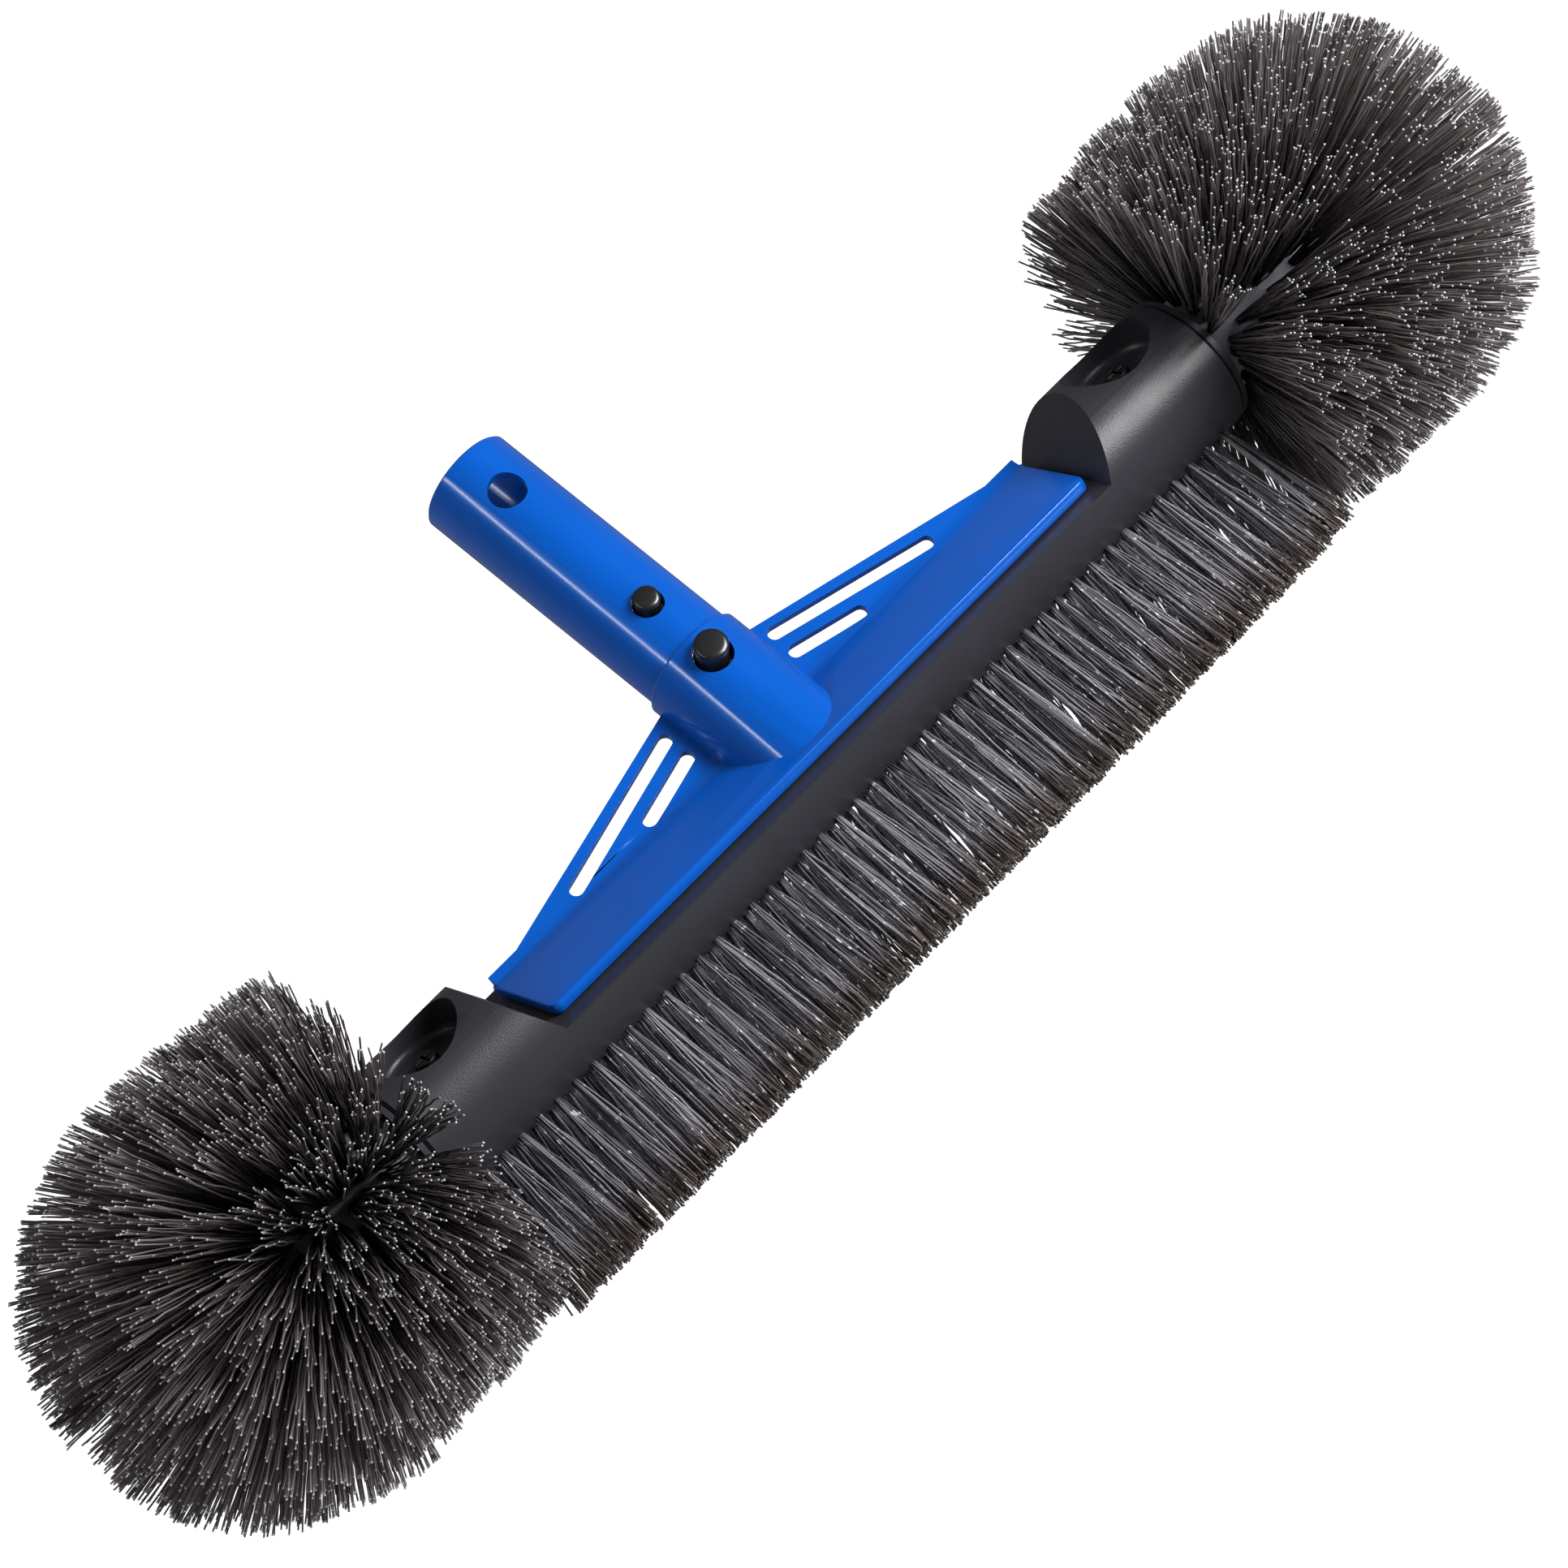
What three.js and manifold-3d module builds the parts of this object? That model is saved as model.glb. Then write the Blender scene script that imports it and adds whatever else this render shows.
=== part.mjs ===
// Pool wall brush: a long round body with straight bristle rows, a round brush head on each end
// and a pole bracket with a two-button snap clip. Millimetres, +X along the body, +Z up.
// The origin is the centre of the flat formed by the middle row's tips, on which the brush stands.
import * as THREE from "three";
import Module from "manifold-3d";
import { mergeVertices } from "three/addons/utils/BufferGeometryUtils.js";

// Body
const AXIS_Z = 59.5;          // height of the body's axis above the tips it stands on
const BODY_R = 19.4;
const BODY_HALF = 143.2;      // middle to each mouth
const BODY_SIDES = 72;
const MOUTH_CHAMFER = 0.7;
const SHELF_RISE = 1.3;       // shelf above the body's axis
const BARREL_LONG = 44.7;     // each round end, along the shelf
const SHELF_HALF = BODY_HALF - BARREL_LONG;
const END_LEAN_DEG = 30.7;    // lean of the barrels' inner faces
const POCKET_X = BODY_HALF - 17.7; // oval screw pocket on top of each barrel
const POCKET_LONG = 27;
const POCKET_WIDE = 23;
const POCKET_EASE = 2.2;      // radius between the pocket's wall and its floor

// Round brush heads
const SPIGOT_R = 8;
const SPIGOT_IN = 28.5;       // length inside the barrel
const SPIGOT_EDGE = 1;
const POCKET_FLOOR = SPIGOT_R + 1.6; // above the body's axis, with a wall left over the spigot
const DISC_R = BODY_R - 0.5;
const DISC_THICK = 1.6;
const CORE_ROOT_R = DISC_R - 3.9;
const CORE_TIP_R = 5;
const CORE_LONG = 34;
const CORE_NOSE = 2;          // chamfer at the core's free end
const CORE_SIDES = 40;
const ROOT_CLEAR = 0.6;       // bristle roots, off the core and its disc
const HEAD_R = AXIS_Z - 1.3;  // over the bristle tips, just clear of the ground the rows stand on
const HEAD_BACK_R = HEAD_R - 2.7; // the same at the rear edge
const HEAD_CENTRE = BODY_HALF + 48.6; // centre of the domed end
const HEAD_BACK = BODY_HALF - 3.2; // tips of the rearmost bristles
const HEAD_SIDES = 36;
const RING_GAP = 0.5;
const RINGS = [               // name, and where it starts and stops on headOutline
  ["rear", 0, 0.55],
  ["side", 0.55, 1.1],
  ["shoulder", 1.1, 1.55],
  ["pole", 1.55, 2],
];
const SCREW_HEAD_R = 3.6;
const SCREW_HEAD_TALL = 2.4;
const SCREW_HEAD_EASE = 0.5;  // how much smaller the head's top is in radius
const SCREW_R = 1.8;
const SCREW_LONG = POCKET_FLOOR + SPIGOT_R + 5.4; // through the spigot
const SCREW_SLOT_LONG = 4.8;  // cross recess
const SCREW_SLOT_WIDE = 0.8;
const SCREW_SLOT_DEEP = 1;
const SCREW_SIDES = 20;
const JOINED = 0.5;           // how far a shape sinks into the one it is joined to

// Straight bristle rows
const ROW_ANGLES = [-45, -22.5, 0, 22.5, 45]; // about the body's axis from straight down, + to the rear
const ROW_NAMES = ["front", "front_inner", "middle", "rear_inner", "rear"];
const TUFT_COUNT = 44;
const TUFT_ROOT_R = 1.4;
const TUFT_SPREAD = 0.56;     // half width at the tips along the row, as a share of the pitch
const TUFT_TIP_ACROSS = 3.2;  // half width at the tips, across the row
const TUFT_FAN = 2.1;         // how far a tuft at the body's mouth would lean out
const ROW_MARGIN = 5.3;       // from the mouth to the last tuft's edge, before it leans
const TUFT_PITCH = (BODY_HALF - ROW_MARGIN) / ((TUFT_COUNT - 1) / 2 + TUFT_SPREAD);
const TUFT_SIDES = 6;

// Pole bracket
const POLE_LEAN_DEG = 48.2;   // spigot tube, back from vertical
const TUBE_Y = 8.7;           // where the tube's axis meets the shelf
const TUBE_R = 14;
const TUBE_BORE_R = TUBE_R - 2.6;
const TUBE_SIDES = 60;
const TUBE_EDGE = 0.6;
const TUBE_END = 107.1;       // along the tube from the shelf
const BORE_BOTTOM = 16.6;
const TUBE_BACK_END = 13;     // square cut of the tube behind the body
const TUBE_BACK_Y = BODY_R + 0.4; // where that cut begins, just clear of the body's back
const COLLAR_R = TUBE_R + 1.3;
const SHOULDER = 30.1;
const END_HOLE_FROM_END = 15.4;
const END_HOLE_R = 5.1;
const FOOT_HALF = SHELF_HALF - 2;
const FOOT_FRONT = 6 - BODY_R;
const FOOT_BACK = BODY_R - 4.2;
const FOOT_THICK = 3.3;
const FOOT_CORNER = 2.6;      // front corners; the rear ones run square into the web
const FOOT_EDGE = 0.7;
const WEB_FACE = -1;          // front face of the web, from the tube's axis
const WEB_THICK = 2.4;
const WEB_OUT_RISE = 6.6;     // along the tube, where the sloping edge ends above the foot's end
const WEB_IN = TUBE_R - 2;    // inner end of the sloping edge, inside the tube
const WEB_IN_RISE = 27;
const WEB_COVE_R = 7;
const SLOT_W = 3.9;
const SLOTS = [               // inner end, outer end (across, along the tube)
  [COLLAR_R + 4.8, 20.6, FOOT_HALF - 32.5, 9.4],
  [COLLAR_R + 4.6, 13.4, FOOT_HALF - 58.1, 8.7],
];

// Snap clip
const CLIP_PIVOT = TUBE_END - 33.1; // along the tube
const CLIP_OFFSET = TUBE_BORE_R - 3.1; // arm's mid plane from the tube's axis
const CLIP_THICK = 1.4;
const CLIP_WIDE = 8;
const CLIP_FOOT = 17.4;       // free end of the arms
const CLIP_PRESS_DEG = 5.2;   // swing of an arm, pressed until its lock button is flush
const CLIP_BEND_LONG = CLIP_OFFSET + 2.7;
const LOCK_AT = 44.6;
const LOCK_R = 3.5;
const LOCK_PROUD = 2.6;
const RELEASE_AT = 22.9;
const RELEASE_R = 4.4;
const RELEASE_PROUD = 4.5;
const BUTTON_DOME = 1.1;      // height of the rounding at the top
const BUTTON_CROWN = 0.65;    // radius of the flatter crown, as a share of the button's
const BUTTON_RIM = 0.8;       // how much of that height the rounding takes before the crown
const BUTTON_SIDES = 28;

// Fits
const GAP = 0.3;              // between pieces that touch
const BUTTON_CLEAR = 0.35;    // around a button's path through the wall
const BIG = 400;              // beyond every piece

const wasm = await Module();
wasm.setup();
const rad = THREE.MathUtils.degToRad;

function solid(geometry) {
  const plain = geometry.clone();
  plain.deleteAttribute("normal");
  plain.deleteAttribute("uv");
  const merged = mergeVertices(plain, 1e-5);
  return new wasm.Manifold(new wasm.Mesh({
    numProp: 3,
    vertProperties: new Float32Array(merged.attributes.position.array),
    triVerts: new Uint32Array(merged.index.array),
  }));
}

function join(parts) {
  return parts.reduce((sum, part) => sum.add(part));
}

function piece(name, body, colour, roughness, metalness) {
  const mesh = body.getMesh();
  const geometry = new THREE.BufferGeometry();
  geometry.setAttribute("position", new THREE.BufferAttribute(new Float32Array(mesh.vertProperties), 3));
  geometry.setIndex(new THREE.BufferAttribute(new Uint32Array(mesh.triVerts), 1));
  geometry.computeVertexNormals();
  const material = new THREE.MeshStandardMaterial({ color: colour, roughness, metalness });
  const out = new THREE.Mesh(geometry, material);
  out.name = name;
  return out;
}

// A closed profile of [radius, along] points turned about the X axis through the body's centre.
function turnedX(profile, segments) {
  const points = profile.map(([r, x]) => new THREE.Vector2(r, x));
  return new THREE.LatheGeometry(points, segments).rotateZ(-Math.PI / 2).translate(0, 0, AXIS_Z);
}

function block(x0, x1, y0, y1, z0, z1) {
  return solid(new THREE.BoxGeometry(x1 - x0, y1 - y0, z1 - z0)
    .translate((x0 + x1) / 2, (y0 + y1) / 2, (z0 + z1) / 2));
}

// The bracket's own frame: x across, y up the tube, z square to the web, towards the front.
const lean = rad(POLE_LEAN_DEG);
const tubeFrame = new THREE.Matrix4().makeBasis(
  new THREE.Vector3(1, 0, 0),
  new THREE.Vector3(0, Math.sin(lean), Math.cos(lean)),
  new THREE.Vector3(0, -Math.cos(lean), Math.sin(lean)),
).setPosition(0, TUBE_Y, AXIS_Z + SHELF_RISE);

function onTube(geometry) {
  return solid(geometry.applyMatrix4(tubeFrame));
}

// A rod square to the tube, from one height above its axis to another.
function crossRod(radius, along, from, to) {
  return onTube(new THREE.CylinderGeometry(radius, radius, to - from, BUTTON_SIDES)
    .rotateX(Math.PI / 2).translate(0, along, (from + to) / 2));
}

function makeBody() {
  const c = MOUTH_CHAMFER;
  let body = solid(turnedX([
    [0, -BODY_HALF], [BODY_R - c, -BODY_HALF], [BODY_R, -BODY_HALF + c],
    [BODY_R, BODY_HALF - c], [BODY_R - c, BODY_HALF], [0, BODY_HALF],
  ], BODY_SIDES));
  const rise = BODY_R;
  const run = rise * Math.tan(rad(END_LEAN_DEG));
  const notch = new THREE.Shape();
  notch.moveTo(-SHELF_HALF, SHELF_RISE);
  notch.lineTo(SHELF_HALF, SHELF_RISE);
  notch.lineTo(SHELF_HALF + run, SHELF_RISE + rise);
  notch.lineTo(-SHELF_HALF - run, SHELF_RISE + rise);
  const cutter = new THREE.ExtrudeGeometry(notch, { depth: 3 * BODY_R, bevelEnabled: false });
  body = body.subtract(solid(cutter.rotateX(Math.PI / 2).translate(0, 1.5 * BODY_R, AXIS_Z)));
  for (const side of [-1, 1]) {
    body = body.subtract(pocket(side));
    body = body.subtract(spigotSpace(side));
    const hole = new THREE.CylinderGeometry(SCREW_R + GAP, SCREW_R + GAP, SCREW_LONG + 1, SCREW_SIDES);
    hole.rotateX(Math.PI / 2).translate(side * POCKET_X, 0, AXIS_Z + POCKET_FLOOR + JOINED - SCREW_LONG / 2);
    body = body.subtract(solid(hole));
  }
  return piece("brush_body", body, 0x222325, 0.5, 0);
}

// The oval pocket: a turned cup with an eased bottom edge, stretched along the body.
function pocket(side) {
  const half = POCKET_WIDE / 2;
  const profile = [new THREE.Vector2(0, 0)];
  for (let i = 0; i <= 4; i += 1) {
    const a = (i / 4) * (Math.PI / 2);
    profile.push(new THREE.Vector2(
      half - POCKET_EASE + POCKET_EASE * Math.sin(a),
      POCKET_EASE * (1 - Math.cos(a)),
    ));
  }
  profile.push(new THREE.Vector2(half, BODY_R));
  profile.push(new THREE.Vector2(0, BODY_R));
  const cup = new THREE.LatheGeometry(profile, 40).rotateX(Math.PI / 2);
  cup.scale(POCKET_LONG / POCKET_WIDE, 1, 1);
  return solid(cup.translate(side * POCKET_X, 0, AXIS_Z + POCKET_FLOOR));
}

function spigotSpace(side) {
  const r = SPIGOT_R + GAP;
  const long = SPIGOT_IN + GAP;
  const bore = new THREE.CylinderGeometry(r, r, long + 2 * JOINED, CORE_SIDES).rotateZ(Math.PI / 2);
  return solid(bore.translate(side * (BODY_HALF + JOINED - long / 2), 0, AXIS_Z));
}

// A head's core: the disc that closes the mouth, its spigot and the tapered core for the bristles.
function makeCore(side, tag) {
  const disc = BODY_HALF + GAP;
  const core = solid(turnedX([
    [0, disc - SPIGOT_IN], [SPIGOT_R - SPIGOT_EDGE, disc - SPIGOT_IN],
    [SPIGOT_R, disc - SPIGOT_IN + SPIGOT_EDGE], [SPIGOT_R, disc],
    [DISC_R, disc], [DISC_R, disc + DISC_THICK], [CORE_ROOT_R, disc + DISC_THICK],
    [CORE_TIP_R, disc + CORE_LONG - CORE_NOSE], [CORE_TIP_R - CORE_NOSE, disc + CORE_LONG],
    [0, disc + CORE_LONG],
  ], CORE_SIDES));
  const hole = new THREE.CylinderGeometry(SCREW_R + GAP, SCREW_R + GAP, 3 * SPIGOT_R, SCREW_SIDES);
  const bored = core.subtract(solid(hole.rotateX(Math.PI / 2).translate(POCKET_X, 0, AXIS_Z)));
  return piece(`head_core_${tag}`, mirrored(bored, side), 0x3a3b3d, 0.5, 0);
}

function mirrored(body, side) {
  return side > 0 ? body : body.rotate([0, 0, 180]);
}

// Outer outline of a head: t runs 0 at the rear edge, 1 where the dome starts and 2 at the pole.
function headOutline(t) {
  if (t <= 1) {
    const r = HEAD_BACK_R + (HEAD_R - HEAD_BACK_R) * Math.sin(t * (Math.PI / 2));
    return [r, HEAD_BACK + (HEAD_CENTRE - HEAD_BACK) * t];
  }
  const a = (t - 1) * (Math.PI / 2);
  return [HEAD_R * Math.cos(a), HEAD_CENTRE + HEAD_R * Math.sin(a)];
}

// A point on the line that the bristles grow from, just off the core; t as in headOutline.
function headRoot(t) {
  const u = t / 2;
  const start = BODY_HALF + GAP + DISC_THICK + ROOT_CLEAR;
  const end = BODY_HALF + GAP + CORE_LONG + ROOT_CLEAR;
  const r = CORE_ROOT_R + ROOT_CLEAR - (CORE_ROOT_R - CORE_TIP_R) * u;
  return [r, start + (end - start) * u];
}

// One ring of a head's bristles, between two values of t.
function makeRing(side, name, from, to) {
  const steps = 6;
  const inset = RING_GAP / HEAD_R;
  const pole = to === 2;
  const start = from + inset;
  const stop = pole ? 2 : to - inset;
  const inner = [headRoot(stop), headRoot(start)];
  const outer = [];
  for (let i = 0; i <= steps; i += 1) {
    outer.push(headOutline(start + ((stop - start) * i) / steps));
  }
  if (pole) {
    inner.unshift([0, headRoot(2)[1]]);
    outer[steps][0] = 0;
  } else {
    outer.push(inner[0]);
  }
  const ring = solid(turnedX([...inner, ...outer], HEAD_SIDES));
  return piece(name, mirrored(ring, side), 0x5a585b, 0.75, 0);
}

function makeScrew(side, tag) {
  const z = AXIS_Z + POCKET_FLOOR + GAP;
  const head = solid(new THREE.CylinderGeometry(
    SCREW_HEAD_R - SCREW_HEAD_EASE, SCREW_HEAD_R, SCREW_HEAD_TALL, SCREW_SIDES,
  ).rotateX(Math.PI / 2).translate(0, 0, SCREW_HEAD_TALL / 2));
  const shank = solid(new THREE.CylinderGeometry(SCREW_R, SCREW_R, SCREW_LONG, SCREW_SIDES)
    .rotateX(Math.PI / 2).translate(0, 0, JOINED - SCREW_LONG / 2));
  const long = SCREW_SLOT_LONG / 2;
  const wide = SCREW_SLOT_WIDE / 2;
  const low = SCREW_HEAD_TALL - SCREW_SLOT_DEEP;
  const high = SCREW_HEAD_TALL + SCREW_SLOT_DEEP;
  const recess = block(-long, long, -wide, wide, low, high).add(block(-wide, wide, -long, long, low, high));
  const screw = head.add(shank).subtract(recess);
  return piece(`head_screw_${tag}`, screw.translate([side * POCKET_X, 0, z]), 0x9a9da0, 0.35, 0.9);
}

// One tuft: a tapered prism from the body's surface to the tips, flaring most along the row.
function tuft(x, angle) {
  const root = BODY_R + GAP;
  const long = AXIS_Z - root;
  const shape = new THREE.CylinderGeometry(1, 1, long, TUFT_SIDES, 1);
  const at = shape.attributes.position;
  const fan = (TUFT_FAN * x) / BODY_HALF;
  const spread = TUFT_SPREAD * TUFT_PITCH;
  for (let i = 0; i < at.count; i += 1) {
    const tip = at.getY(i) < 0;
    const along = tip ? spread : TUFT_ROOT_R;
    const across = tip ? TUFT_TIP_ACROSS : TUFT_ROOT_R;
    const shift = tip ? fan : 0;
    at.setXYZ(i, at.getZ(i) * along + shift, at.getX(i) * across, at.getY(i) - root - long / 2);
  }
  return solid(shape.rotateX(rad(angle)).translate(x, 0, AXIS_Z));
}

function makeRow(index) {
  const half = ((TUFT_COUNT - 1) * TUFT_PITCH) / 2;
  const tufts = [];
  for (let i = 0; i < TUFT_COUNT; i += 1) {
    tufts.push(tuft(-half + i * TUFT_PITCH, ROW_ANGLES[index]));
  }
  return piece(`bristle_row_${ROW_NAMES[index]}`, join(tufts), 0x5a585b, 0.75, 0);
}

function makeFoot() {
  const x = FOOT_HALF - FOOT_EDGE;
  const y0 = FOOT_FRONT + FOOT_EDGE;
  const y1 = FOOT_BACK - FOOT_EDGE;
  const r = FOOT_CORNER - FOOT_EDGE;
  const plan = new THREE.Shape();
  plan.moveTo(-x + r, y0);
  plan.lineTo(x - r, y0);
  plan.absarc(x - r, y0 + r, r, -Math.PI / 2, 0, false);
  plan.lineTo(x, y1);
  plan.lineTo(-x, y1);
  plan.lineTo(-x, y0 + r);
  plan.absarc(-x + r, y0 + r, r, Math.PI, 1.5 * Math.PI, false);
  const slab = new THREE.ExtrudeGeometry(plan, {
    depth: FOOT_THICK - 2 * FOOT_EDGE,
    bevelThickness: FOOT_EDGE,
    bevelSize: FOOT_EDGE,
    bevelSegments: 2,
    curveSegments: 5,
  });
  return solid(slab.translate(0, 0, AXIS_Z + SHELF_RISE + GAP + FOOT_EDGE));
}

// The web: a shallow triangle in the plane of the tube, as wide as the foot.
function makeWeb() {
  const plan = new THREE.Shape();
  plan.moveTo(-FOOT_HALF, 0);
  plan.lineTo(FOOT_HALF, 0);
  plan.lineTo(FOOT_HALF, WEB_OUT_RISE);
  plan.lineTo(WEB_IN, WEB_IN_RISE);
  plan.lineTo(-WEB_IN, WEB_IN_RISE);
  plan.lineTo(-FOOT_HALF, WEB_OUT_RISE);
  const sheet = new THREE.ExtrudeGeometry(plan, { depth: WEB_THICK, bevelEnabled: false });
  return onTube(sheet.translate(0, 0, WEB_FACE - WEB_THICK));
}

// Cutters for the round-ended slots, two each side, square to the web and through the curve at its foot.
function makeSlots() {
  const r = SLOT_W / 2;
  const cutters = [];
  for (const [xi, yi, xo, yo] of SLOTS) {
    const a = Math.atan2(yo - yi, xo - xi);
    for (const side of [-1, 1]) {
      const slot = new THREE.Path();
      slot.absarc(xi, yi, r, a + Math.PI / 2, a + 1.5 * Math.PI, false);
      slot.absarc(xo, yo, r, a - Math.PI / 2, a + Math.PI / 2, false);
      const outline = new THREE.Shape(slot.getPoints(7).map((p) => new THREE.Vector2(side * p.x, p.y)));
      const cutter = new THREE.ExtrudeGeometry(outline, { depth: 2 * WEB_COVE_R, bevelEnabled: false });
      cutters.push(onTube(cutter.translate(0, 0, WEB_FACE - WEB_COVE_R)));
    }
  }
  return join(cutters);
}

// The hollow curve between the foot's top and the web's front face, carried along the foot.
function makeCove() {
  const top = SHELF_RISE + GAP + FOOT_THICK;
  const turn = Math.PI / 2 - lean;
  const reach = WEB_COVE_R * Math.tan(turn / 2);
  const along = (top - SHELF_RISE - WEB_FACE * Math.sin(lean)) / Math.cos(lean);
  const cornerY = TUBE_Y + along * Math.sin(lean) - WEB_FACE * Math.cos(lean);
  const profile = new THREE.Shape();
  profile.moveTo(cornerY + WEB_THICK / 2, top - FOOT_THICK / 2);
  profile.lineTo(cornerY - reach, top - FOOT_THICK / 2);
  for (let i = 0; i <= 5; i += 1) {
    const a = (turn * i) / 5;
    profile.lineTo(cornerY - reach + WEB_COVE_R * Math.sin(a), top + WEB_COVE_R * (1 - Math.cos(a)));
  }
  const long = 2 * (FOOT_HALF - FOOT_EDGE);
  const strip = new THREE.ExtrudeGeometry(profile, { depth: long, bevelEnabled: false });
  strip.applyMatrix4(new THREE.Matrix4().makeBasis(
    new THREE.Vector3(0, 1, 0), new THREE.Vector3(0, 0, 1), new THREE.Vector3(1, 0, 0),
  ));
  return solid(strip.translate(-long / 2, 0, AXIS_Z));
}

// The tube and its collar, carried on below the shelf to be cut off there.
function makeTube() {
  const e = TUBE_EDGE;
  const below = -2 * COLLAR_R;
  return onTube(new THREE.LatheGeometry([
    [0, below], [COLLAR_R, below], [COLLAR_R, SHOULDER - e], [COLLAR_R - e, SHOULDER], [TUBE_R, SHOULDER],
    [TUBE_R, TUBE_END - e], [TUBE_R - e, TUBE_END], [0, TUBE_END],
  ].map(([r, y]) => new THREE.Vector2(r, y)), TUBE_SIDES));
}

// Where a button passes the wall: a round hole, large enough for the arc that the button swings on,
// which carries it away from the clip's bend as it goes in.
function buttonHole(face, along, radius, top) {
  const swing = (top - CLIP_OFFSET) * Math.sin(rad(CLIP_PRESS_DEG));
  const r = radius + swing / 2 + BUTTON_CLEAR;
  const at = along - swing / 2;
  const out = 2 * COLLAR_R;
  return face > 0 ? crossRod(r, at, 0, out) : crossRod(r, at, -out, 0);
}

function makeBracket() {
  const floor = AXIS_Z + SHELF_RISE + GAP;
  const underFoot = block(-BIG, BIG, -BIG, TUBE_BACK_Y, floor - BIG, floor);
  const underCollar = block(-BIG, BIG, -BIG, FOOT_BACK, floor - BIG, floor + FOOT_THICK / 2);
  const pastBack = onTube(new THREE.BoxGeometry(BIG, BIG, BIG).translate(0, TUBE_BACK_END - BIG / 2, 0))
    .intersect(block(-BIG, BIG, TUBE_BACK_Y, BIG, -BIG, BIG));
  const tube = makeTube().subtract(underFoot).subtract(underCollar).subtract(pastBack);
  const web = makeWeb().subtract(underFoot).add(makeCove()).subtract(makeSlots());
  const deep = TUBE_END - BORE_BOTTOM;
  const bore = new THREE.CylinderGeometry(TUBE_BORE_R, TUBE_BORE_R, 2 * deep, TUBE_SIDES);
  const bracket = join([makeFoot(), web, tube]).subtract(onTube(bore.translate(0, TUBE_END, 0)));
  const cuts = [crossRod(END_HOLE_R, TUBE_END - END_HOLE_FROM_END, -2 * TUBE_R, 2 * TUBE_R)];
  for (const face of [-1, 1]) {
    cuts.push(buttonHole(face, LOCK_AT, LOCK_R, TUBE_R + LOCK_PROUD));
    cuts.push(buttonHole(face, RELEASE_AT, RELEASE_R, COLLAR_R + RELEASE_PROUD));
  }
  return piece("pole_bracket", bracket.subtract(join(cuts)), 0x0d7fd6, 0.35, 0);
}

// An arm of the clip lies along the bore; face is +1 in front and -1 behind.
function makeArm(face, tag) {
  const long = CLIP_PIVOT - GAP - CLIP_FOOT;
  const arm = new THREE.BoxGeometry(CLIP_WIDE, long, CLIP_THICK);
  arm.translate(0, CLIP_FOOT + long / 2, face * CLIP_OFFSET);
  return piece(`clip_arm_${tag}`, onTube(arm), 0xa8abad, 0.3, 0.9);
}

function makeBend() {
  const outer = CLIP_OFFSET + CLIP_THICK / 2;
  const inner = CLIP_OFFSET - CLIP_THICK / 2;
  const base = CLIP_PIVOT;
  const spring = base + CLIP_BEND_LONG - outer;
  const profile = new THREE.Shape();
  profile.moveTo(outer, base);
  profile.lineTo(outer, spring);
  profile.absarc(0, spring, outer, 0, Math.PI, false);
  profile.lineTo(-outer, base);
  profile.lineTo(-inner, base);
  profile.lineTo(-inner, spring);
  profile.absarc(0, spring, inner, Math.PI, 0, true);
  profile.lineTo(inner, base);
  const strap = new THREE.ExtrudeGeometry(profile, {
    depth: CLIP_WIDE,
    bevelEnabled: false,
    curveSegments: 20,
  });
  strap.applyMatrix4(new THREE.Matrix4().makeBasis(
    new THREE.Vector3(0, 0, 1), new THREE.Vector3(0, 1, 0), new THREE.Vector3(-1, 0, 0),
  ));
  return piece("clip_bend", onTube(strap.translate(CLIP_WIDE / 2, 0, 0)), 0xa8abad, 0.3, 0.9);
}

// A button stands on its arm and shows through the wall, with a shallow domed top.
function makeButton(name, face, along, radius, top) {
  const base = CLIP_OFFSET + CLIP_THICK / 2 + GAP;
  const profile = [[0, base], [radius, base], [radius, top - BUTTON_DOME]];
  for (let i = 1; i <= 4; i += 1) {
    const a = (i / 4) * (Math.PI / 2);
    const r = radius * (BUTTON_CROWN + (1 - BUTTON_CROWN) * Math.cos(a));
    profile.push([r, top - BUTTON_DOME * (1 - BUTTON_RIM * Math.sin(a))]);
  }
  profile.push([0, top]);
  const turned = new THREE.LatheGeometry(profile.map(([r, y]) => new THREE.Vector2(r, y)), BUTTON_SIDES);
  turned.rotateX((face * Math.PI) / 2).translate(0, along, 0);
  return piece(name, onTube(turned), 0x17181a, 0.4, 0);
}

const brush = new THREE.Group();
brush.name = "pool_wall_brush";
brush.add(makeBody());
brush.add(makeBracket());
brush.add(makeBend());
for (const [face, tag] of [[1, "front"], [-1, "rear"]]) {
  brush.add(makeArm(face, tag));
  brush.add(makeButton(`lock_button_${tag}`, face, LOCK_AT, LOCK_R, TUBE_R + LOCK_PROUD));
  brush.add(makeButton(`release_button_${tag}`, face, RELEASE_AT, RELEASE_R, COLLAR_R + RELEASE_PROUD));
}
for (let i = 0; i < ROW_ANGLES.length; i += 1) {
  brush.add(makeRow(i));
}
for (const [side, tag] of [[-1, "left"], [1, "right"]]) {
  brush.add(makeCore(side, tag));
  brush.add(makeScrew(side, tag));
  for (const [ring, from, to] of RINGS) {
    brush.add(makeRing(side, `head_bristles_${ring}_${tag}`, from, to));
  }
}

export default brush;
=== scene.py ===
import math

import bmesh
import bpy
import numpy as np
from bpy.props import FloatProperty, FloatVectorProperty, IntProperty, PointerProperty
from bpy.types import Operator, Panel, PropertyGroup
from mathutils import Matrix, Vector


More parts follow.
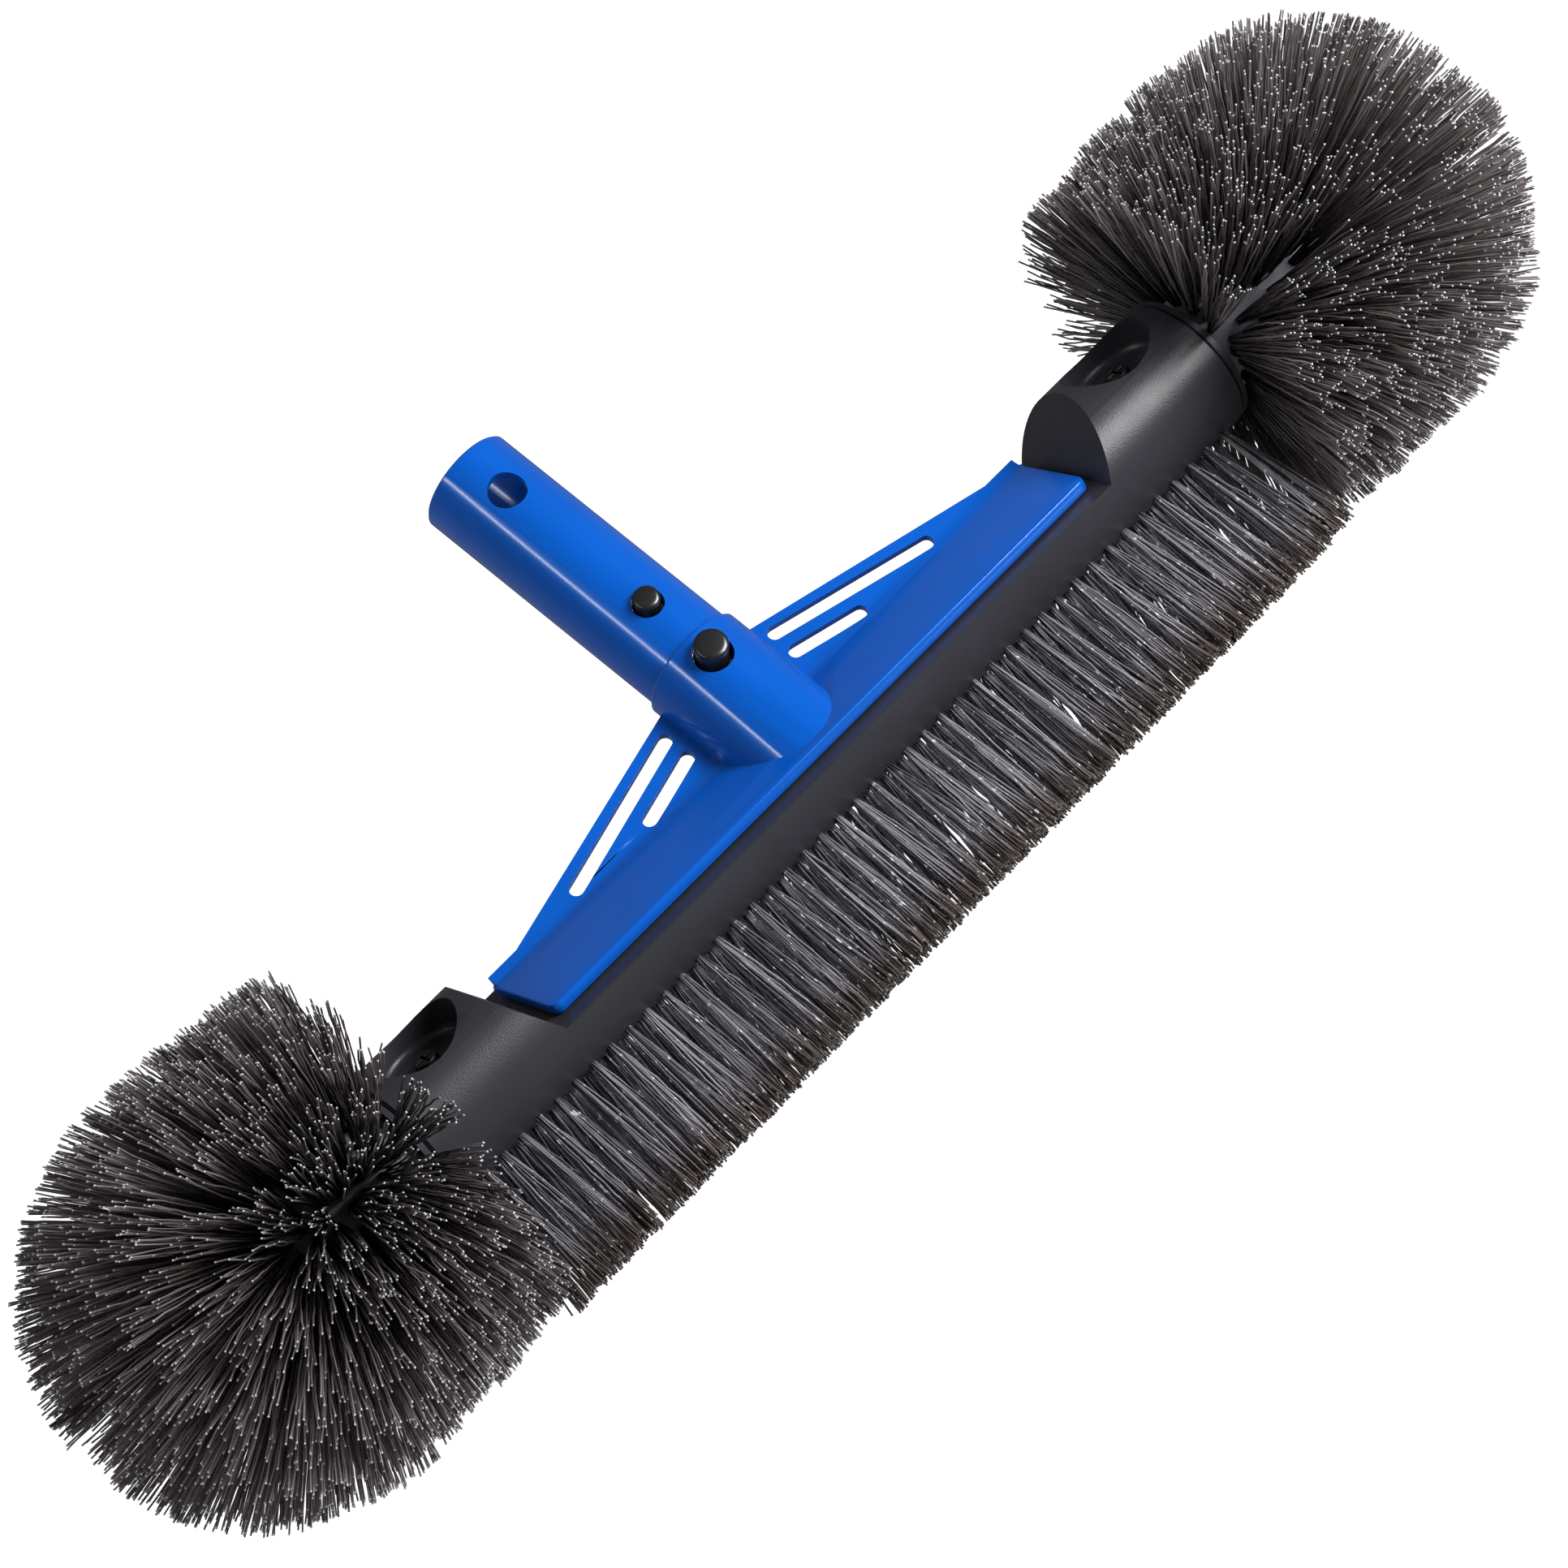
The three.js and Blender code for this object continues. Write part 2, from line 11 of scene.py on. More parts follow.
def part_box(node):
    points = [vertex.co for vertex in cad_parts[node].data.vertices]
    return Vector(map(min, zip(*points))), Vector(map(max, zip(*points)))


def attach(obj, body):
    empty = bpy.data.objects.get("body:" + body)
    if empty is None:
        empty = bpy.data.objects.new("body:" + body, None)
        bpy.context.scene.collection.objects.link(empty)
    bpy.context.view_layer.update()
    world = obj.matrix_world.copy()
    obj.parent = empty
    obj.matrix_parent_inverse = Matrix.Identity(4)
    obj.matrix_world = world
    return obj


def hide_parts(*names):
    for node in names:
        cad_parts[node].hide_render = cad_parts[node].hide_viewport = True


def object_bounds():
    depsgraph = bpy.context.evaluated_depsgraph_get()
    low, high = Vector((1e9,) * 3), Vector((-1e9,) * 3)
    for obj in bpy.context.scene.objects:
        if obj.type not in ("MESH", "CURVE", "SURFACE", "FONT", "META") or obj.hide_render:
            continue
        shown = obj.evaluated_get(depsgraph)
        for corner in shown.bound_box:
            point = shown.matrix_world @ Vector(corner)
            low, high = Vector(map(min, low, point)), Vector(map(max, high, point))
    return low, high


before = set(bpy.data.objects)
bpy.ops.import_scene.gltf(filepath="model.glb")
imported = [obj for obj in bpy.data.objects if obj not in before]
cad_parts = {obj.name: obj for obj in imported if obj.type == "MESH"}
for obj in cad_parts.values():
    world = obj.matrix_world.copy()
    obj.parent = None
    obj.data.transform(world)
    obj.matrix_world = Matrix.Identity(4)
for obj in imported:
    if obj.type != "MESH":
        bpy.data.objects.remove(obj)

bl_info = {
    "name": "Pool wall brush",
    "version": (1, 0, 0),
    "blender": (4, 5, 0),
    "location": "View3D > Sidebar > Pool brush",
    "description": "Finishes a pool wall brush: moulded plastics, spring clip and crimped bristles",
    "category": "Object",
}

CAD_BOX = [[float(v) for v in corner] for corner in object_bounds()]

# Places that come from the frame, in metres.
BODY_LOW, BODY_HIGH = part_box("brush_body")
AXIS_Z = (BODY_LOW[2] + BODY_HIGH[2]) / 2
BODY_R = (BODY_HIGH[1] - BODY_LOW[1]) / 2
MOUTH_X = BODY_HIGH[0]
HEAD_BACK_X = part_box("head_bristles_rear_right")[0][0]
HEAD_TIP_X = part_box("head_bristles_pole_right")[1][0]
HEAD_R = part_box("head_bristles_side_right")[1][1]
HEAD_CENTRE_X = HEAD_TIP_X - HEAD_R
OUTER_R = HEAD_R + 0.001

# The same values as the solids have.
HEAD_BACK_R = HEAD_R - 0.0027
TUFT_COUNT = 44
TUFT_PITCH = (MOUTH_X - 0.0053) / ((TUFT_COUNT - 1) / 2 + 0.56)
TUFT_FAN = 0.0021
ROWS = {"front": -45, "front_inner": -22.5, "middle": 0, "rear_inner": 22.5, "rear": 45}
POLE_LEAN = math.radians(48.2)

# The round heads: spans of the outline's parameter, the full core, and the parting in the right head.
RINGS = {"rear": (0, 0.55), "side": (0.55, 1.1), "shoulder": (1.1, 1.55), "pole": (1.55, 2)}
HEAD_ARC = 0.075
CORE_R = 0.0152
CORE_TIP_X = HEAD_CENTRE_X + CORE_R
CORE_SIDES = 64
CORE_STEPS = 14
PARTING_TURN = math.radians(150.6)
PARTING_HALF = 0.06
PARTING_REACH = 0.6
PARTING_END = 0.85

# Filaments: steps along one, the share of its length that is the burr, depth of the roots in the plastic.
RINGS_ALONG = 12
BURR_SHARE = 0.009
ROOT_DEPTH = 0.001
ROW_ROOT_DEPTH = 0.0012
ROW_ROOT_R = 0.00085
ROW_TIP_X = 0.0032
ROW_TIP_Y = 0.0031

SHARP_DEG = 32
FLAT_DEG = 0.4
MERGE_M = 2e-6

# The floor: half its width, and the gap that keeps it off the bristle tips.
FLOOR_HALF = 6.0
FLOOR_GAP = 0.0004

# The camera: place about the brush, in degrees and metres.
CAMERA_AZIMUTH = -21.0
CAMERA_ELEVATION = 27.7
CAMERA_ROLL = 34.8
CAMERA_DISTANCE = 1.6414
CAMERA_AIM = (-0.0103, 0.0, AXIS_Z - 0.0041)
CAMERA_LENS_MM = 154.1


# ---------------------------------------------------------------- sizes and colours


class BristleSettings(PropertyGroup):
    """Sizes and colours of the crimped filaments."""

    thick: FloatProperty(
        name="Filament thickness", description="Diameter of one filament",
        default=0.00056, min=0.0001, max=0.002, unit="LENGTH", precision=5,
    )
    burr: FloatProperty(
        name="Burr", description="Thickness of a filament's cut end, against the filament",
        default=1.2, min=1, max=3,
    )
    crimp_height: FloatProperty(
        name="Crimp height", description="Half height of a filament's waves",
        default=0.00016, min=0, max=0.002, unit="LENGTH", precision=5,
    )
    crimp_length: FloatProperty(
        name="Crimp length", description="Length of one wave of a filament",
        default=0.0075, min=0.002, max=0.05, unit="LENGTH", precision=4,
    )
    row_filaments: IntProperty(
        name="Filaments in a row's tuft", description="Filaments in each tuft of the straight rows",
        default=30, min=4, max=40,
    )
    head_filaments: IntProperty(
        name="Filaments in a head's tuft", description="Filaments in each tuft of the round heads",
        default=22, min=4, max=30,
    )
    head_pitch: FloatProperty(
        name="Head tuft pitch", description="Distance between the tufts of a head at their tips",
        default=0.0122, min=0.006, max=0.03, unit="LENGTH", precision=4,
    )
    head_spread: FloatProperty(
        name="Head tuft spread", description="Radius of a head's tuft at its tips",
        default=0.0046, min=0.001, max=0.01, unit="LENGTH", precision=4,
    )
    row_colour: FloatVectorProperty(
        name="Row colour", description="Colour of the straight rows' filaments",
        default=(0.168, 0.162, 0.181), size=3, min=0, max=1, subtype="COLOR",
    )
    row_end_colour: FloatVectorProperty(
        name="Row end colour", description="Colour of the straight rows near the trimmed edge",
        default=(0.075, 0.06, 0.055), size=3, min=0, max=1, subtype="COLOR",
    )
    head_colour: FloatVectorProperty(
        name="Head colour", description="Colour of the round heads' filaments",
        default=(0.112, 0.097, 0.096), size=3, min=0, max=1, subtype="COLOR",
    )
    # Painted highlight: this pale colour on the heads' cut filament ends stands in for the light the ends
    # catch.
    cut_end_highlight_colour: FloatVectorProperty(
        name="Cut colour", description="Colour of the round heads' cut filament ends",
        default=(0.4, 0.43, 0.43), size=3, min=0, max=1, subtype="COLOR",
    )


class PlasticSettings(PropertyGroup):
    """Colours and surface of the moulded parts."""

    body_colour: FloatVectorProperty(
        name="Body colour", description="Colour of the brush body",
        default=(0.02, 0.0192, 0.0238), size=3, min=0, max=1, subtype="COLOR",
    )
    core_colour: FloatVectorProperty(
        name="Core colour", description="Colour of the round heads' cores",
        default=(0.11, 0.105, 0.125), size=3, min=0, max=1, subtype="COLOR",
    )
    bracket_colour: FloatVectorProperty(
        name="Bracket colour", description="Colour of the pole bracket",
        default=(0.0, 0.062, 0.34), size=3, min=0, max=1, subtype="COLOR",
    )
    button_colour: FloatVectorProperty(
        name="Button colour", description="Colour of the clip's buttons",
        default=(0.008, 0.008, 0.009), size=3, min=0, max=1, subtype="COLOR",
    )
    edge_round: FloatProperty(
        name="Edge rounding", description="Width of the rounding on moulded edges",
        default=0.00035, min=0, max=0.001, unit="LENGTH", precision=5,
    )


class StageSettings(PropertyGroup):
    """Floor and lights."""

    floor_glow: FloatProperty(
        name="Floor glow", description="Brightness of the pale floor", default=1.0, min=0, max=3,
    )
    sky_glow: FloatProperty(
        name="Sky glow", description="Brightness of the room around", default=0.13, min=0, max=3,
    )
    key_power: FloatProperty(
        name="Key power", description="Power of the large soft light", default=52, min=0, unit="POWER",
    )
    fill_power: FloatProperty(
        name="Fill power", description="Power of the weak soft light behind",
        default=14, min=0, unit="POWER",
    )
    line_power: FloatProperty(
        name="Line power", description="Power of the narrow light that draws the tube's bright line",
        default=9, min=0, unit="POWER",
    )


# ---------------------------------------------------------------- meshes


def mesh_from_arrays(name, points, quads, tris):
    """A mesh from an (n, 3) array of points, an (m, 4) array of quads and a (k, 3) array of triangles."""
    mesh = bpy.data.meshes.new(name)
    mesh.vertices.add(len(points))
    mesh.vertices.foreach_set("co", np.ascontiguousarray(points, dtype=np.float32).ravel())
    corners = np.concatenate([quads.ravel(), tris.ravel()]).astype(np.int32)
    starts = np.concatenate([
        np.arange(len(quads)) * 4,
        quads.size + np.arange(len(tris)) * 3,
    ]).astype(np.int32)
    mesh.loops.add(len(corners))
    mesh.loops.foreach_set("vertex_index", corners)
    mesh.polygons.add(len(starts))
    mesh.polygons.foreach_set("loop_start", starts)
    mesh.polygons.foreach_set("use_smooth", np.ones(len(starts), dtype=bool))
    mesh.update(calc_edges=True)
    return mesh


def add_piece(name, mesh, material, body, replaced):
    """Puts a mesh into the scene as a piece that rides on a body and stands for CAD nodes."""
    piece = bpy.data.objects.new(name, mesh)
    bpy.context.scene.collection.objects.link(piece)
    mesh.materials.clear()
    mesh.materials.append(material)
    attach(piece, body)
    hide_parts(replaced)
    return piece


def unit(vectors):
    """Each vector divided by its length."""
    return vectors / np.maximum(np.linalg.norm(vectors, axis=-1, keepdims=True), 1e-12)


def filament_mesh(name, root, tip, bow, settings, rng):
    """Crimped three-sided filaments, one for each pair of points in root and tip.

    A filament's middle line is root + (tip - root) u + bow 4u(1 - u) + a h(u) sin(2 pi L u / crimp
    + phase), for u from 0 to 1, where a is a unit vector square to the filament, L is its length and h
    rises from nothing at the root to the crimp's height. Round it, three corners stand at 120 degrees at
    the radius r(u), which swells at the trimmed end as a cut filament's burr does. A triangle closes each end.
    The steps of u are even but for the last, which is the short length of the burr.
    """
    count, rings = len(root), RINGS_ALONG
    steps = np.append(np.linspace(0, 1 - BURR_SHARE, rings - 1), 1)
    u = steps[None, :, None]
    along = tip - root
    length = np.linalg.norm(along, axis=1)[:, None, None]
    forward = unit(along)
    side = unit(np.cross(forward, rng.normal(size=(count, 3))))
    other = np.cross(forward, side)
    phase = rng.uniform(0, 2 * math.pi, (count, 1, 1))
    height = settings.crimp_height * np.minimum(u * 4, 1)
    wave = height * np.sin(2 * math.pi * length * u / settings.crimp_length + phase)
    line = root[:, None] + along[:, None] * u + bow[:, None] * 4 * u * (1 - u) + side[:, None] * wave
    radius = settings.thick / 2 * np.where(u < 1 - BURR_SHARE / 2, 1, settings.burr)
    angle = np.arange(3) * 2 * math.pi / 3
    spoke = (
        side[:, None, None] * np.cos(angle)[None, None, :, None]
        + other[:, None, None] * np.sin(angle)[None, None, :, None]
    )
    points = line[:, :, None] + spoke * radius[..., None]
    strand = np.arange(count)[:, None, None] * rings * 3
    ring = np.arange(rings - 1)[None, :, None] * 3
    corner = np.arange(3)[None, None, :]
    after = (corner + 1) % 3
    low, low_after = strand + ring + corner, strand + ring + after
    quads = np.stack([low, low_after, low_after + 3, low + 3], axis=-1).reshape(-1, 4)
    first = strand[:, 0]
    last = first + (rings - 1) * 3
    tris = np.concatenate([first + np.array([[0, 2, 1]]), last + np.array([[0, 1, 2]])])
    mesh = mesh_from_arrays(name, points.reshape(-1, 3), quads, tris)
    how_far = np.broadcast_to(u, (count, rings, 3)).astype(np.float32)
    tone = np.broadcast_to(rng.uniform(0, 1, (count, 1, 1)), (count, rings, 3)).astype(np.float32)
    for label, values in (("along", how_far), ("tone", tone)):
        layer = mesh.attributes.new(label, "FLOAT", "POINT")
        layer.data.foreach_set("value", np.ascontiguousarray(values).ravel())
    return mesh


def disc_points(count, rng):
    """Points spread evenly over a unit disc: radius sqrt((k + 0.5) / n), angle k times the golden angle."""
    k = np.arange(count)
    r = np.sqrt((k + 0.5) / count)
    a = k * math.pi * (3 - math.sqrt(5)) + rng.uniform(0, 2 * math.pi)
    return np.stack([r * np.cos(a), r * np.sin(a)], axis=-1)


def row_strands(angle_deg, settings, rng):
    """Roots, tips and bows of a straight row's filaments.

    Tuft k stands at x = (k - (n - 1) / 2) pitch, and its filaments start in a small round at the body's
    surface and end in a larger one on the row's trimmed edge, a cylinder about the body's axis. The row
    leans x by the fan angle in proportion to how far out the tuft is.
    """
    per = settings.row_filaments
    x = (np.arange(TUFT_COUNT) - (TUFT_COUNT - 1) / 2) * TUFT_PITCH
    spots = np.stack([disc_points(per, rng) for _ in x])
    jitter = rng.normal(0, 0.24, (TUFT_COUNT, per, 2))
    reach = AXIS_Z - 0.0006 - rng.gamma(1.2, 0.0005, (TUFT_COUNT, per))
    start = BODY_R - ROW_ROOT_DEPTH
    lean = (TUFT_FAN * x / MOUTH_X)[:, None]
    sway = rng.normal(0, 0.0006, (TUFT_COUNT, 1, 2))
    root_x = x[:, None] + spots[..., 0] * ROW_ROOT_R
    root_y = spots[..., 1] * ROW_ROOT_R
    tip_x = x[:, None] + (spots[..., 0] + jitter[..., 0]) * ROW_TIP_X + lean + sway[..., 0]
    tip_y = (spots[..., 1] + jitter[..., 1]) * ROW_TIP_Y + sway[..., 1]
    tip_z = -np.sqrt(np.maximum(reach ** 2 - tip_y ** 2, 0))
    root = np.stack([root_x, root_y, np.full_like(root_x, -start)], axis=-1).reshape(-1, 3)
    tip = np.stack([tip_x, tip_y, tip_z], axis=-1).reshape(-1, 3)
    bow = np.zeros_like(root)
    bow[:, :2] = rng.normal(0, 0.0005, (len(root), 2))
    turn = np.array(Matrix.Rotation(math.radians(angle_deg), 3, "X"))
    place = np.array([0, 0, AXIS_Z])
    return root @ turn.T + place, tip @ turn.T + place, bow @ turn.T


def head_outline(t):
    """Radius and x of the head's outline for t from 0 to 2.

    The radius rises as a quarter sine wave up to t = 1, the head's centre, and falls as a quarter circle
    from there to the pole at 2.
    """
    low = np.clip(t, 0, 1)
    dome = np.clip(t - 1, 0, 1) * math.pi / 2
    radius = np.where(
        t <= 1,
        HEAD_BACK_R + (OUTER_R - HEAD_BACK_R) * np.sin(low * math.pi / 2),
        OUTER_R * np.cos(dome),
    )
    x = np.where(
        t <= 1,
        HEAD_BACK_X + (HEAD_CENTRE_X - HEAD_BACK_X) * low,
        HEAD_CENTRE_X + OUTER_R * np.sin(dome),
    )
    return radius, x


def core_line(t):
    """Radius and x of the line just under the core's surface that the filaments start from, for the same t.

    The x grows evenly with t. The radius is the core's up to the head's centre, a quarter circle after it.
    """
    x0 = MOUTH_X + 0.003
    x = x0 + (CORE_TIP_X - 0.0005 - x0) * t / 2
    return np.sqrt(CORE_R ** 2 - np.maximum(x - HEAD_CENTRE_X, 0) ** 2) - ROOT_DEPTH, x


def head_strands(side, span, settings, rng):
    """Roots, tips and bows of the filaments of one ring of a round head.

    Tufts stand in circles at even steps of t, with about one tuft for every pitch round the tips, each
    circle turned by half a step from the last. A tuft leans a little at random, and the right head's are
    pushed apart along one line, where the core shows between them. Its filaments start in a
    small round on the core and fan out to a larger one on the head's outline, cut short at random.
    side is 1 for the right head and -1 for the left.
    """
    per = settings.head_filaments
    pitch = settings.head_pitch
    circles = max(2, round((span[1] - span[0]) * HEAD_ARC / pitch))
    t_rows, turns = [], []
    for i in range(circles):
        t = span[0] + (span[1] - span[0]) * (i + 0.5) / circles
        radius = float(head_outline(np.array(t))[0])
        tufts = max(4, round(2 * math.pi * radius / pitch))
        t_rows.append(np.full(tufts, t))
        turns.append((np.arange(tufts) + 0.5 * (i % 2)) * 2 * math.pi / tufts)
    t = np.concatenate(t_rows)
    turn = np.concatenate(turns)
    count = len(t)
    t = t + rng.normal(0, 0.02, count)
    t = t + np.where(t > 1.8, -0.1, 0)
    turn = turn + rng.normal(0, 0.03, count)
    away = (turn - PARTING_TURN + math.pi) % (2 * math.pi) - math.pi
    push = np.sign(away) * PARTING_HALF * np.exp(-(away / PARTING_REACH) ** 2)
    turn = turn + np.where((t < PARTING_END) & (side > 0), push, 0)
    spots = np.stack([disc_points(per, rng) for _ in range(count)])
    spots = spots * rng.uniform(0.75, 1.25, (count, 1, 1)) + rng.normal(0, 0.2, (count, per, 2))
    tip_radius, _ = head_outline(t)
    spread = settings.head_spread
    t_tip = np.clip(t[:, None] + spots[..., 0] * spread / 0.055, 0.002, 1.995)
    turn_tip = turn[:, None] + spots[..., 1] * spread / np.maximum(tip_radius, 0.012)[:, None]
    radius, x = head_outline(t_tip)
    cut = 1 - rng.gamma(1.5, 0.018, radius.shape) - np.abs(rng.normal(0, 0.03, (count, 1)))
    cut = np.clip(cut, 0.84, 1)
    t_root = np.clip(t[:, None] + spots[..., 0] * 0.028, 0, 1.98)
    turn_root = turn[:, None] + spots[..., 1] * 0.0009 / CORE_R
    root_radius, root_x = core_line(t_root)
    root = np.stack([root_x, root_radius * np.cos(turn_root), root_radius * np.sin(turn_root)], axis=-1)
    full = np.stack([x, radius * np.cos(turn_tip), radius * np.sin(turn_tip)], axis=-1)
    tip = root + (full - root) * cut[..., None]
    root, tip = root.reshape(-1, 3), tip.reshape(-1, 3)
    bow = rng.normal(0, 0.0006, root.shape)
    flip = np.array([side, side, 1])
    place = np.array([0, 0, AXIS_Z])
    return root * flip + place, tip * flip + place, bow


# ---------------------------------------------------------------- materials


def new_material(name):
    """An empty node material with its shader: (material, nodes, links, shader)."""
    material = bpy.data.materials.new(name)
    material.use_nodes = True
    nodes, links = material.node_tree.nodes, material.node_tree.links
    shader = nodes["Principled BSDF"]
    return material, nodes, links, shader


def noise(nodes, links, scale, detail=3.0, stretch=(1, 1, 1)):
    """A noise on the object's own coordinates."""
    where = nodes.new("ShaderNodeTexCoord")
    mapping = nodes.new("ShaderNodeMapping")
    mapping.inputs["Scale"].default_value = stretch
    texture = nodes.new("ShaderNodeTexNoise")
    texture.inputs["Scale"].default_value = scale
    texture.inputs["Detail"].default_value = detail
    links.new(where.outputs["Object"], mapping.inputs["Vector"])
    links.new(mapping.outputs["Vector"], texture.inputs["Vector"])
    return texture


def ramp(nodes, links, source, stops):
    """A colour ramp over a value; stops are (place, colour)."""
    node = nodes.new("ShaderNodeValToRGB")
    band = node.color_ramp.elements
    for element, (place, colour) in zip(band, (stops[0], stops[-1])):
        element.position = place
        element.color = (*colour, 1)
    for place, colour in stops[1:-1]:
        band.new(place).color = (*colour, 1)
    links.new(source, node.inputs["Fac"])
    return node


def shade(colour, factor):
    """A colour made lighter or darker."""
    return tuple(min(1, c * factor) for c in colour)


def moulded_plastic(
    name, colour, rough, grain_scale, grain_depth, mottle, specular=0.5, coat=0.0, tint_of_gloss=(1, 1, 1),
):
    """Moulded plastic: slightly uneven colour and gloss over a fine grain."""
    material, nodes, links, shader = new_material(name)
    broad = noise(nodes, links, 38, 4)
    tint = ramp(nodes, links, broad.outputs["Fac"], [
        (0.32, shade(colour, 1 - mottle)), (0.68, shade(colour, 1 + mottle)),
    ])
    links.new(tint.outputs["Color"], shader.inputs["Base Color"])
    patch = noise(nodes, links, 160, 5)
    gloss = nodes.new("ShaderNodeMapRange")
    gloss.inputs["To Min"].default_value = rough - 0.05
    gloss.inputs["To Max"].default_value = rough + 0.05
    links.new(patch.outputs["Fac"], gloss.inputs["Value"])
    links.new(gloss.outputs["Result"], shader.inputs["Roughness"])
    grain = noise(nodes, links, grain_scale, 2)
    bump = nodes.new("ShaderNodeBump")
    bump.inputs["Strength"].default_value = 0.35
    bump.inputs["Distance"].default_value = grain_depth
    links.new(grain.outputs["Fac"], bump.inputs["Height"])
    links.new(bump.outputs["Normal"], shader.inputs["Normal"])
    shader.inputs["Specular IOR Level"].default_value = specular
    shader.inputs["Specular Tint"].default_value = (*tint_of_gloss, 1)
    shader.inputs["Coat Weight"].default_value = coat
    shader.inputs["Coat Roughness"].default_value = 0.16
    shader.inputs["Coat IOR"].default_value = 1.42
    return material


def steel(name, colour, rough):
    """Metal of the given colour with faint drawn lines."""
    material, nodes, links, shader = new_material(name)
    lines = noise(nodes, links, 900, 3, (0.08, 1, 1))
    tint = ramp(nodes, links, lines.outputs["Fac"], [(0.3, shade(colour, 0.82)), (0.7, colour)])
    links.new(tint.outputs["Color"], shader.inputs["Base Color"])
    bump = nodes.new("ShaderNodeBump")
    bump.inputs["Strength"].default_value = 0.2
    bump.inputs["Distance"].default_value = 0.00005
    links.new(lines.outputs["Fac"], bump.inputs["Height"])
    links.new(bump.outputs["Normal"], shader.inputs["Normal"])
    shader.inputs["Metallic"].default_value = 1
    shader.inputs["Roughness"].default_value = rough
    return material


def nylon(name, stops, glint):
    """Filament nylon: a colour by the place along the filament, its own tone, and small painted glints.

    stops are (place from root to tip, colour). The glints are painted highlights: the crests of a fine noise
    brighten the colour to the share glint of a pale grey.
    """
    material, nodes, links, shader = new_material(name)
    along = nodes.new("ShaderNodeAttribute")
    along.attribute_name = "along"
    tone = nodes.new("ShaderNodeAttribute")
    tone.attribute_name = "tone"
    length_colour = ramp(nodes, links, along.outputs["Fac"], stops)
    tone_colour = ramp(nodes, links, tone.outputs["Fac"], [
        (0.0, (0.2, 0.18, 0.17)), (0.45, (0.8, 0.78, 0.8)), (1.0, (1.2, 1.2, 1.22)),
    ])
    mix = nodes.new("ShaderNodeMix")
    mix.data_type = "RGBA"
    mix.blend_type = "MULTIPLY"
    mix.inputs["Factor"].default_value = 1
    links.new(length_colour.outputs["Color"], mix.inputs["A"])
    links.new(tone_colour.outputs["Color"], mix.inputs["B"])
    fine = noise(nodes, links, 620, 1)
    crest = nodes.new("ShaderNodeMapRange")
    crest.inputs["From Min"].default_value = 0.66
    crest.inputs["From Max"].default_value = 0.74
    crest.inputs["To Max"].default_value = glint
    links.new(fine.outputs["Fac"], crest.inputs["Value"])
    lit = nodes.new("ShaderNodeMix")
    lit.data_type = "RGBA"
    # Pale grey of the painted glints, highlights drawn into the colour.
    lit.inputs["B"].default_value = (0.6, 0.62, 0.64, 1)
    links.new(crest.outputs["Result"], lit.inputs["Factor"])
    links.new(mix.outputs["Result"], lit.inputs["A"])
    links.new(lit.outputs["Result"], shader.inputs["Base Color"])
    shader.inputs["Roughness"].default_value = 0.4
    shader.inputs["Specular IOR Level"].default_value = 0.4
    return material


# ---------------------------------------------------------------- skins over the solids


def skin(node, material, body, round_edge):
    """A smooth copy of a solid: doubles merged, flat areas joined, sharp edges kept and rounded."""
    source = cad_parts[node]
    work = bmesh.new()
    work.from_mesh(source.data)
    work.transform(source.matrix_world)
    bmesh.ops.remove_doubles(work, verts=work.verts, dist=MERGE_M)
    bmesh.ops.dissolve_limit(
        work, angle_limit=math.radians(FLAT_DEG), verts=work.verts, edges=work.edges, delimit={"NORMAL"},
    )
    for face in work.faces:
        face.smooth = True
    mesh = bpy.data.meshes.new(f"{node}_skin")
    work.to_mesh(mesh)
    work.free()
    mesh.set_sharp_from_angle(angle=math.radians(SHARP_DEG))
    piece = add_piece(f"{node}_skin", mesh, material, body, node)
    if round_edge > 0:
        bevel = piece.modifiers.new("edge", "BEVEL")
        bevel.width = round_edge
        bevel.segments = 2
        bevel.limit_method = "ANGLE"
        bevel.angle_limit = math.radians(SHARP_DEG)
        bevel.harden_normals = True
    return piece


# ---------------------------------------------------------------- operators


def core_surface(name, side):
    """The full core of a head as a lathe surface: a tube at the core's radius, then a quarter circle.

    Point (i, j) stands at step i of the profile, turned by the angle 2 pi j / n. The profile is a line
    from the axis at the mouth out to the radius, along it, and round the nose back to the axis.
    """
    sides = CORE_SIDES
    dome = np.linspace(0, math.pi / 2, CORE_STEPS)
    x = np.concatenate([[MOUTH_X] * 2, HEAD_CENTRE_X + CORE_R * np.sin(dome)])
    radius = np.concatenate([[0, CORE_R], CORE_R * np.cos(dome)])
    turn = np.arange(sides) * 2 * math.pi / sides
    ring = np.stack([np.zeros(sides), side * np.cos(turn), np.sin(turn)], axis=-1)
    points = x[:, None, None] * np.array([side, 0, 0]) + radius[:, None, None] * ring
    points[..., 2] += AXIS_Z
    i = np.arange(len(x) - 1)[:, None] * sides
    j = np.arange(sides)[None, :]
    after = (j + 1) % sides
    quads = np.stack([i + j, i + after, i + after + sides, i + j + sides], axis=-1).reshape(-1, 4)
    mesh = mesh_from_arrays(name, points.reshape(-1, 3), quads, np.zeros((0, 3), dtype=int))
    work = bmesh.new()
    work.from_mesh(mesh)
    bmesh.ops.remove_doubles(work, verts=work.verts, dist=1e-6)
    bmesh.ops.recalc_face_normals(work, faces=work.faces)
    work.to_mesh(mesh)
    work.free()
    return mesh


class POOLBRUSH_OT_body(Operator):
    """Finish the brush body in satin black plastic."""

    bl_idname = "poolbrush.body"
    bl_label = "Body"

    def execute(self, context):
        look = context.scene.pool_brush_plastic
        plastic = moulded_plastic(
            "body_plastic", tuple(look.body_colour),
            rough=0.34, grain_scale=2600, grain_depth=0.00012, mottle=0.08, specular=0.27,
        )
        skin("brush_body", plastic, "brush", look.edge_round)
        return {"FINISHED"}


